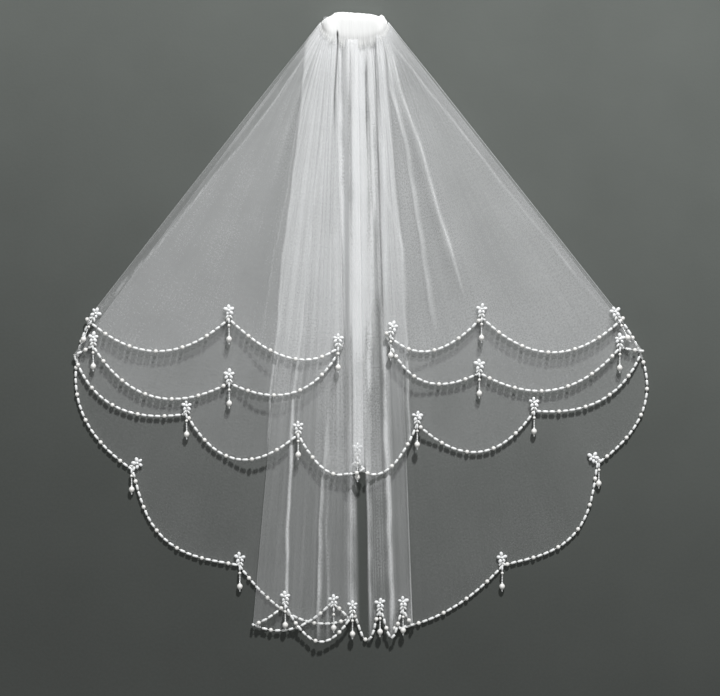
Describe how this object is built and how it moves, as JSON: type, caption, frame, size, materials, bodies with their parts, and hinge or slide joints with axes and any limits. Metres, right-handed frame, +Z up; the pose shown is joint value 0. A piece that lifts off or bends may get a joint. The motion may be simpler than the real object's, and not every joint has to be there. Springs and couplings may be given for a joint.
{
  "type": "bridal veil",
  "caption": "Two-tier elbow-length tulle bridal veil gathered on a comb, with scalloped beaded hems, bead flowers and hanging pearl drops, laid flat.",
  "frame": {"origin": "middle of the whole veil's underside, on the surface it lies on", "axes": "+Y towards the comb, +X to the right as seen from above with the comb away, +Z up out of the surface"},
  "size_m": [0.7312, 0.7992, 0.0239],
  "materials": {
    "tulle": "fine white net, sheer",
    "beads": "glossy white bugle and round beads",
    "pearl": "pearly off-white",
    "clear_plastic": "clear, glossy"
  },
  "bodies": {
    "root": {"back_tier": "tulle", "comb": "clear_plastic", "edging_back_tier": "beads", "edging_front_tier": "beads", "edging_left_over_flap": "beads", "edging_left_under_flap": "beads", "edging_right_over_flap": "beads", "edging_right_under_flap": "beads", "front_tier": "tulle", "gathered_heading": "tulle", "left_over_flap": "tulle", "left_under_flap": "tulle", "motif_back_tier_10": "pearl", "motif_back_tier_2": "pearl", "motif_back_tier_3": "pearl", "motif_back_tier_4": "pearl", "motif_back_tier_5": "pearl", "motif_back_tier_6": "pearl", "motif_back_tier_7": "pearl", "motif_back_tier_8": "pearl", "motif_back_tier_9": "pearl", "motif_front_tier_1": "pearl", "motif_front_tier_2": "pearl", "motif_front_tier_3": "pearl", "motif_front_tier_4": "pearl", "motif_front_tier_5": "pearl", "motif_left_over_flap_1": "pearl", "motif_left_over_flap_2": "pearl", "motif_left_over_flap_3": "pearl", "motif_left_under_flap_1": "pearl", "motif_left_under_flap_2": "pearl", "motif_right_over_flap_1": "pearl", "motif_right_over_flap_2": "pearl", "motif_right_over_flap_3": "pearl", "motif_right_under_flap_2": "pearl", "motif_right_under_flap_3": "pearl", "right_over_flap": "tulle", "right_under_flap": "tulle"}
  },
  "joints": []
}
